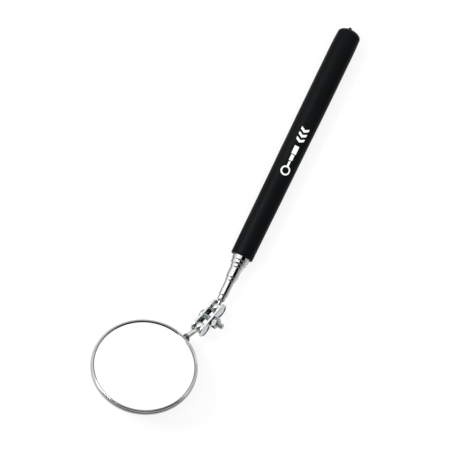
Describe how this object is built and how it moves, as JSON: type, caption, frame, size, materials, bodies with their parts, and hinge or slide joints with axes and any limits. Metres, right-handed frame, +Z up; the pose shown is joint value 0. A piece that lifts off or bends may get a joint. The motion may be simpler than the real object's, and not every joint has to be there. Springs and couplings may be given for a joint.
{
  "type": "telescoping inspection mirror",
  "caption": "Hand tool with a round mirror on a double ball joint clamp at the end of telescoping tubes, and a soft closed grip.",
  "frame": {"origin": "on the handle's centre line, in the middle of the grip's straight band near the closed butt", "axes": "+X along the handle from the butt towards the mirror, +Z up as the tool lies on a flat surface on its grip and the edge of its mirror case"},
  "size_m": [0.2446, 0.0572, 0.0282],
  "materials": {
    "grip_vinyl": "satin, dip moulded",
    "tube_plating": "bright nickel and chrome plating, drawn",
    "turned_steel": "turned and plated",
    "shim_brass": "rolled strip",
    "polished_balls": "polished",
    "clamp_plating": "pressed, bright zinc plated",
    "fastener_zinc": "bright zinc plated",
    "case_plating": "pressed and rolled, bright plated",
    "silvered_glass": "polished",
    "backing_card": "matt card",
    "bracket_steel": "pressed, plated"
  },
  "bodies": {
    "handle": {"grip_sleeve": "grip_vinyl", "handle_tube": "tube_plating", "handle_end_plug": "turned_steel"},
    "first_stage_shims": {"first_stage_shim_upper": "shim_brass", "first_stage_shim_lower": "shim_brass"},
    "first_stage": {"first_stage_tube": "tube_plating"},
    "second_stage_shims": {"second_stage_shim_upper": "shim_brass", "second_stage_shim_lower": "shim_brass"},
    "second_stage": {"second_stage_tube": "tube_plating"},
    "third_stage_shims": {"third_stage_shim_upper": "shim_brass", "third_stage_shim_lower": "shim_brass"},
    "third_stage": {"third_stage_tube": "tube_plating", "rod_stud": "turned_steel"},
    "rod_ball": {"rod_ball": "polished_balls"},
    "clamp": {"clamp_plate_head_side": "clamp_plating", "clamp_plate_nut_side": "clamp_plating", "clamp_screw": "fastener_zinc", "lock_washer": "fastener_zinc"},
    "nut": {"clamp_nut": "fastener_zinc"},
    "mirror_ball": {"mirror_ball": "polished_balls"},
    "stem": {"mirror_stem": "turned_steel"},
    "mirror_head": {"mirror_case": "case_plating", "mirror_glass": "silvered_glass", "backing_disc": "backing_card", "stem_bracket": "bracket_steel", "bracket_rivets": "fastener_zinc"}
  },
  "joints": [
    {"name": "first_stage_slide", "type": "slide", "parent": "handle", "child": "first_stage_shims", "axis": [1, 0, 0], "range_m": [0, 0.118]},
    {"name": "first_stage_turn", "type": "hinge", "parent": "first_stage_shims", "child": "first_stage", "pos_m": [0, 0, 0], "axis": [1, 0, 0], "continuous": true},
    {"name": "second_stage_slide", "type": "slide", "parent": "first_stage", "child": "second_stage_shims", "axis": [1, 0, 0], "range_m": [0, 0.118]},
    {"name": "second_stage_turn", "type": "hinge", "parent": "second_stage_shims", "child": "second_stage", "pos_m": [0, 0, 0], "axis": [1, 0, 0], "continuous": true},
    {"name": "third_stage_slide", "type": "slide", "parent": "second_stage", "child": "third_stage_shims", "axis": [1, 0, 0], "range_m": [0, 0.125]},
    {"name": "third_stage_turn", "type": "hinge", "parent": "third_stage_shims", "child": "third_stage", "pos_m": [0, 0, 0], "axis": [1, 0, 0], "continuous": true},
    {"name": "clamp_tilt", "type": "hinge", "parent": "third_stage", "child": "rod_ball", "pos_m": [0.1401, 0, 0], "axis": [0, 0.5344, -0.8453], "range_deg": [-24, 4]},
    {"name": "clamp_swing", "type": "hinge", "parent": "rod_ball", "child": "clamp", "pos_m": [0.1401, 0, 0], "axis": [0.1736, 0.8324, 0.5262], "range_deg": [-74.5, 105.5]},
    {"name": "nut_turn", "type": "hinge", "parent": "clamp", "child": "nut", "pos_m": [0.14778, 0.00252, 0.00384], "axis": [0.1736, 0.8324, 0.5262], "range_deg": [0, 180]},
    {"name": "stem_swing", "type": "hinge", "parent": "clamp", "child": "mirror_ball", "pos_m": [0.15358, -0.00404, 0.00194], "axis": [-0.1736, -0.8324, -0.5262], "range_deg": [-97.2, 82.8]},
    {"name": "stem_tilt", "type": "hinge", "parent": "mirror_ball", "child": "stem", "pos_m": [0.15358, -0.00404, 0.00194], "axis": [-0.38, -0.4363, 0.8156], "range_deg": [-3.8, 24.2]},
    {"name": "mirror_turn", "type": "hinge", "parent": "stem", "child": "mirror_head", "pos_m": [0.15358, -0.00404, 0.00194], "axis": [0.8634, -0.4836, 0.1436], "continuous": true}
  ]
}
